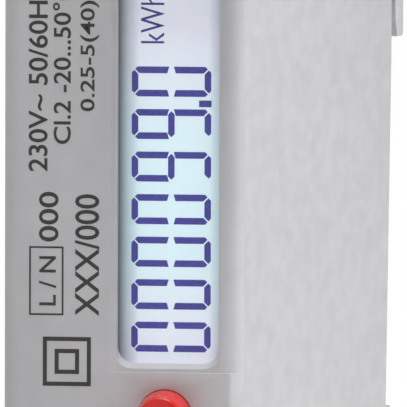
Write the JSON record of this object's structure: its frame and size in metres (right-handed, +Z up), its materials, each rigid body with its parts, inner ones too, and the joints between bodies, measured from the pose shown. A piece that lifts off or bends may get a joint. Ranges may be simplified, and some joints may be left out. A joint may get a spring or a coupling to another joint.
{
  "type": "smart electric meter",
  "caption": "Narrow single-phase electricity meter for a top-hat rail, with an LCD register, a red pulse lamp, screw clamp terminals at both ends and a sprung rail latch.",
  "frame": {"origin": "centre of the rail seat plane: mid-width, on the rail's centre line", "axes": "+X right seen from the front, +Y back towards the rail, +Z up"},
  "size_m": [0.0176, 0.067, 0.0955],
  "materials": {
    "case_plastic": "light grey moulded plastic, fine texture",
    "cover_plastic": "light grey moulded plastic, fine texture",
    "block_plastic": "grey moulded plastic",
    "clear_plastic": "clear, polished",
    "display_glass": "smooth",
    "light_guide": "milky white",
    "frame_plastic": "white moulded plastic",
    "contact_rubber": "black, matte",
    "red_plastic": "red, translucent, polished",
    "lamp_body": "clear epoxy",
    "board": "green solder mask",
    "chip": "black epoxy",
    "crystal_can": "satin",
    "varistor_blue": "blue epoxy dip",
    "film_yellow": "yellow epoxy case",
    "sleeve": "dark shrink sleeve",
    "latch_plastic": "dark grey moulded plastic",
    "spring_steel": "drawn wire",
    "zinc_steel": "zinc plated",
    "copper": "tinned copper, satin",
    "print_ink": "dark grey print",
    "lcd_ink": "blue-violet display segments",
    "manganin": "resistance alloy, satin"
  },
  "bodies": {
    "case": {"rear_housing": "case_plastic", "front_cover": "cover_plastic", "display_window": "clear_plastic", "pulse_lamp_lens": "red_plastic", "terminal_block_top": "block_plastic", "terminal_block_bottom": "block_plastic", "lcd_glass": "display_glass", "lcd_frame": "frame_plastic", "zebra_strip_left": "contact_rubber", "zebra_strip_right": "contact_rubber", "lcd_backlight": "light_guide", "pulse_lamp": "lamp_body", "display_board": "board", "main_board": "board", "board_connector": "chip", "microcontroller": "chip", "metering_chip": "chip", "optocoupler": "chip", "quartz_crystal": "crystal_can", "varistor": "varistor_blue", "dropper_capacitor": "film_yellow", "smoothing_capacitor": "sleeve", "shunt": "manganin", "sense_wire_upper": "copper", "sense_wire_lower": "copper", "latch_spring": "spring_steel", "line_in_bar": "copper", "line_out_bar": "copper", "neutral_bar": "copper", "pulse_plus_bar": "copper", "pulse_minus_bar": "copper"},
    "latch": {"rail_latch": "latch_plastic"},
    "line_in_screw": {"line_in_screw": "zinc_steel"},
    "line_in_cage": {"line_in_cage": "zinc_steel"},
    "line_out_screw": {"line_out_screw": "zinc_steel"},
    "line_out_cage": {"line_out_cage": "zinc_steel"},
    "neutral_screw": {"neutral_screw": "zinc_steel"},
    "neutral_cage": {"neutral_cage": "zinc_steel"},
    "pulse_plus_screw": {"pulse_plus_screw": "zinc_steel"},
    "pulse_plus_cage": {"pulse_plus_cage": "zinc_steel"},
    "pulse_minus_screw": {"pulse_minus_screw": "zinc_steel"},
    "pulse_minus_cage": {"pulse_minus_cage": "zinc_steel"}
  },
  "joints": [
    {"name": "latch_slide", "type": "slide", "parent": "case", "child": "latch", "axis": [0, 0, -1], "range_m": [0, 0.003], "stiffness_N_per_m": 400, "springref_m": -0.005, "deforming": ["latch_spring"]},
    {"name": "line_in_screw_turn", "type": "hinge", "parent": "case", "child": "line_in_screw", "pos_m": [-0.00375, -0.036, -0.036], "axis": [0, 1, 0], "range_deg": [0, 1711]},
    {"name": "line_in_cage_slide", "type": "slide", "parent": "case", "child": "line_in_cage", "axis": [0, -1, 0], "range_m": [0, 0.00332]},
    {"name": "line_out_screw_turn", "type": "hinge", "parent": "case", "child": "line_out_screw", "pos_m": [-0.00375, -0.036, 0.036], "axis": [0, 1, 0], "range_deg": [0, 1711]},
    {"name": "line_out_cage_slide", "type": "slide", "parent": "case", "child": "line_out_cage", "axis": [0, -1, 0], "range_m": [0, 0.00332]},
    {"name": "neutral_screw_turn", "type": "hinge", "parent": "case", "child": "neutral_screw", "pos_m": [0.00375, -0.036, 0.036], "axis": [0, 1, 0], "range_deg": [0, 1711]},
    {"name": "neutral_cage_slide", "type": "slide", "parent": "case", "child": "neutral_cage", "axis": [0, -1, 0], "range_m": [0, 0.00332]},
    {"name": "pulse_plus_screw_turn", "type": "hinge", "parent": "case", "child": "pulse_plus_screw", "pos_m": [0.0031, -0.036, -0.0393], "axis": [0, 1, 0], "range_deg": [0, 1531]},
    {"name": "pulse_plus_cage_slide", "type": "slide", "parent": "case", "child": "pulse_plus_cage", "axis": [0, -1, 0], "range_m": [0, 0.00191]},
    {"name": "pulse_minus_screw_turn", "type": "hinge", "parent": "case", "child": "pulse_minus_screw", "pos_m": [0.0031, -0.032, -0.0298], "axis": [0, 1, 0], "range_deg": [0, 1531]},
    {"name": "pulse_minus_cage_slide", "type": "slide", "parent": "case", "child": "pulse_minus_cage", "axis": [0, -1, 0], "range_m": [0, 0.00191]}
  ],
  "couplings": [
    {"joint": "line_in_screw_turn", "follows": "line_in_cage_slide", "rad_per_m": 8976},
    {"joint": "line_out_screw_turn", "follows": "line_out_cage_slide", "rad_per_m": 8976},
    {"joint": "neutral_screw_turn", "follows": "neutral_cage_slide", "rad_per_m": 8976},
    {"joint": "pulse_plus_screw_turn", "follows": "pulse_plus_cage_slide", "rad_per_m": 13963},
    {"joint": "pulse_minus_screw_turn", "follows": "pulse_minus_cage_slide", "rad_per_m": 13963}
  ]
}
